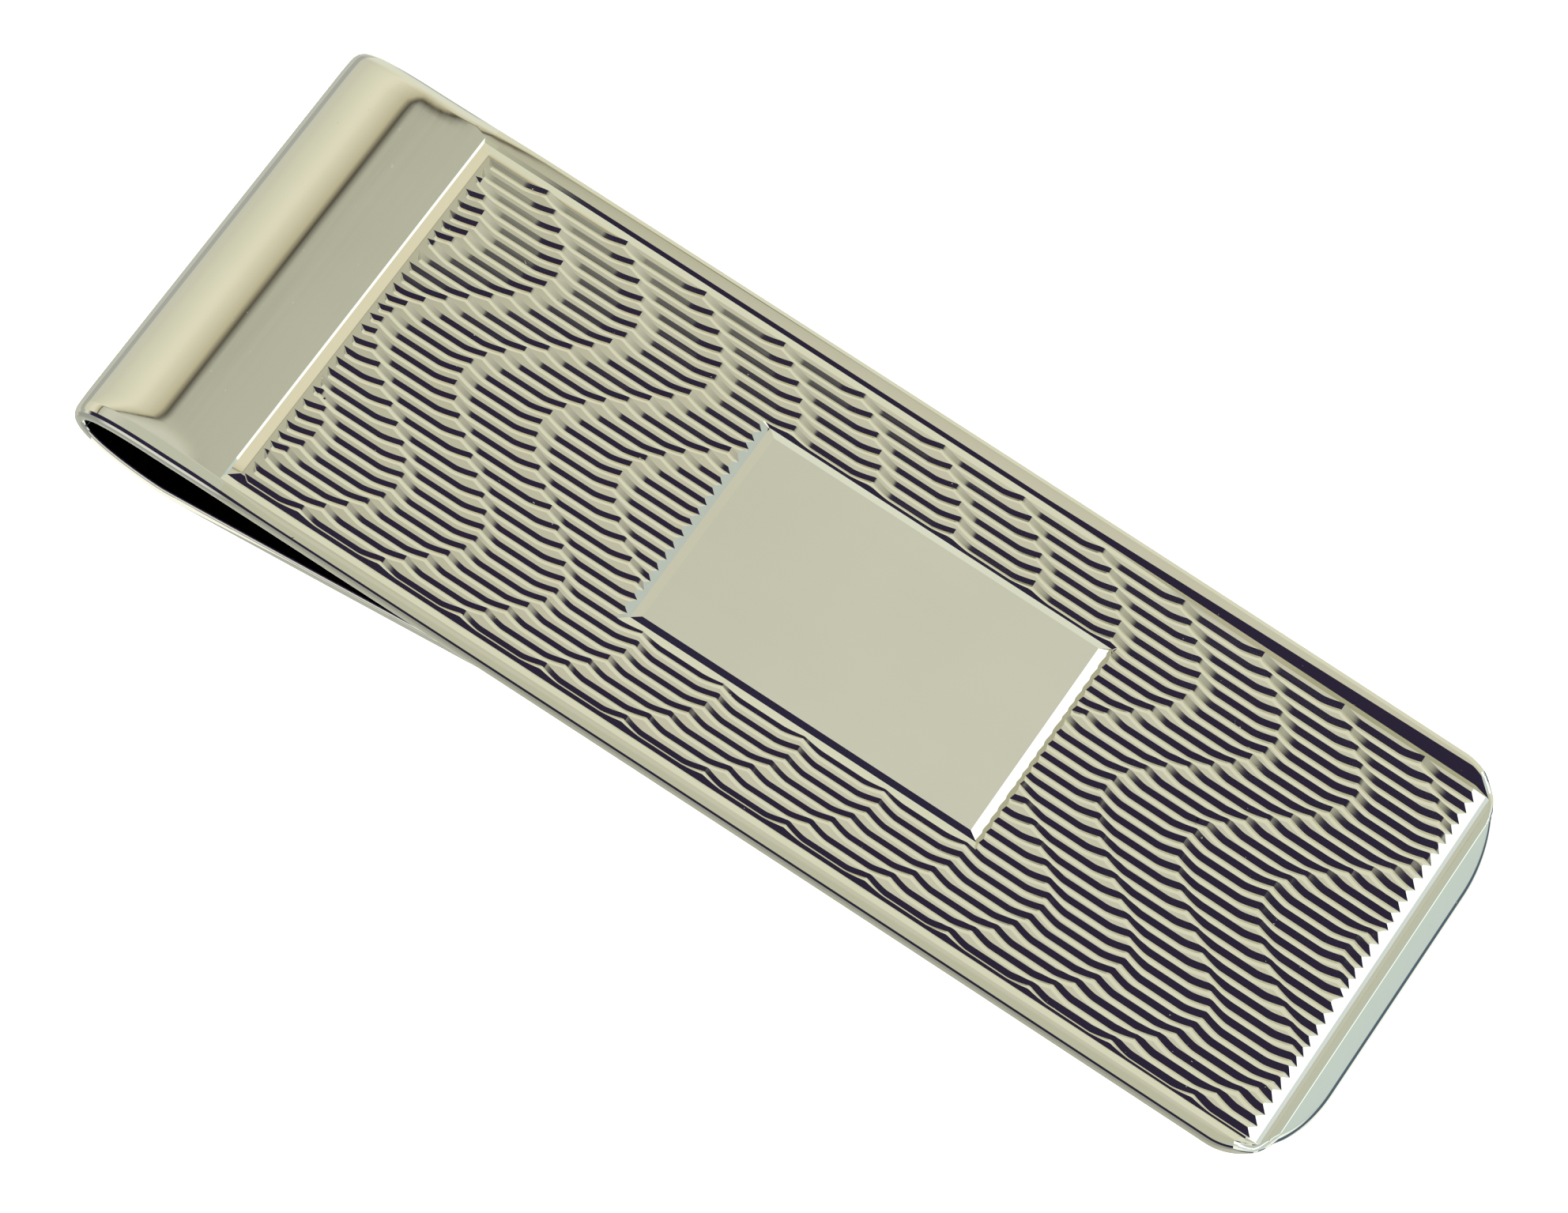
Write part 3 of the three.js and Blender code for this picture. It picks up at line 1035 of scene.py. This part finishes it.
def make_dark_side():
    """The unlit room behind the camera, which the metal's near flanks reflect."""
    bm = bmesh.new()
    bmesh.ops.create_circle(bm, cap_ends=True, segments=96, radius=DARK_RADIUS)
    material, tree, shader = glow("dark_side")
    shader.inputs["Color"].default_value = (*TENT_DARK, 1)
    place = tree.nodes.new("ShaderNodeTexCoord")
    length = tree.nodes.new("ShaderNodeVectorMath")
    length.operation = "LENGTH"
    tree.links.new(place.outputs["Object"], length.inputs[0])
    clear = tree.nodes.new("ShaderNodeBsdfTransparent")
    mix = tree.nodes.new("ShaderNodeMixShader")
    edge = mapped(tree, length.outputs["Value"], DARK_RADIUS - DARK_SOFTNESS, DARK_RADIUS)
    cut_off = mapped(tree, axis_value(tree, "Y"), DARK_CUT, DARK_CUT - DARK_SOFTNESS)
    tree.links.new(worked_out(tree, "MAXIMUM", edge, cut_off), mix.inputs["Fac"])
    tree.links.new(shader.outputs["Emission"], mix.inputs[1])
    tree.links.new(clear.outputs["BSDF"], mix.inputs[2])
    tree.links.new(mix.outputs["Shader"], tree.nodes["Material Output"].inputs["Surface"])
    disc = stage_object("dark_side", bm, material)
    disc.location = DARK_CENTRE
    only_reflected(disc)


def make_card():
    """A white card beside the near edge, which brightens the back spring's side."""
    bm = bmesh.new()
    corners = [(x * MM, y * MM, CARD_HEIGHT * MM) for x, y in CARD_CORNERS]
    bm.faces.new([bm.verts.new(c) for c in corners])
    material, _, shader = glow("white_card")
    shader.inputs["Color"].default_value = (1.2, 1.2, 1.15, 1)
    only_reflected(stage_object("white_card", bm, material))


def make_floor():
    bm = bmesh.new()
    bmesh.ops.create_circle(bm, cap_ends=True, segments=96, radius=FLOOR_RADIUS)
    floor = stage_object("floor", bm, floor_material())
    floor.location = (0, 0, FLOOR_Z)
    floor.visible_glossy = False


def make_light(name, place, aim, size, watts):
    light = bpy.data.lights.new(name, "AREA")
    light.shape = "DISK"
    light.size = size
    light.energy = watts
    light.color = (1, 0.995, 0.98)
    lamp = bpy.data.objects.new(name, light)
    lamp.location = place
    direction = Vector(aim) - Vector(place)
    lamp.rotation_euler = direction.to_track_quat("-Z", "Y").to_euler()
    lamp.visible_glossy = False
    bpy.context.scene.collection.objects.link(lamp)


def make_world():
    world = bpy.data.worlds.new("studio")
    world.use_nodes = True
    background = world.node_tree.nodes["Background"]
    background.inputs["Color"].default_value = (1, 1, 0.99, 1)
    background.inputs["Strength"].default_value = WORLD_STRENGTH
    bpy.context.scene.world = world


WORLD_STRENGTH = 1.9
LIGHT_PLACE = (0, 0.1, 0.9)
LIGHT_SIZE = 0.7
LIGHT_WATTS = 3

CAMERA_PLACE = Vector((32.83, -152.2, 290.39)) * MM
CAMERA_AIM = Vector((-0.61, -0.95, 3.13)) * MM
CAMERA_ROLL = math.radians(21.98)
CAMERA_LENS = 199.6
CAMERA_SENSOR = 36


def make_camera():
    data = bpy.data.cameras.new("camera")
    data.lens = CAMERA_LENS
    data.sensor_width = CAMERA_SENSOR
    data.sensor_fit = "HORIZONTAL"
    data.clip_start = 0.01
    camera = bpy.data.objects.new("camera", data)
    towards = (CAMERA_AIM - CAMERA_PLACE).to_track_quat("-Z", "Y").to_matrix().to_4x4()
    roll = Matrix.Rotation(CAMERA_ROLL, 4, "Z")
    camera.matrix_world = Matrix.Translation(CAMERA_PLACE) @ towards @ roll
    bpy.context.scene.collection.objects.link(camera)
    bpy.context.scene.camera = camera


make_floor()
make_tent()
make_dark_side()
make_card()
make_light("top_light", LIGHT_PLACE, (0, 0, 0), LIGHT_SIZE, LIGHT_WATTS)
make_world()
make_camera()
bpy.context.scene.view_settings.view_transform = "Standard"
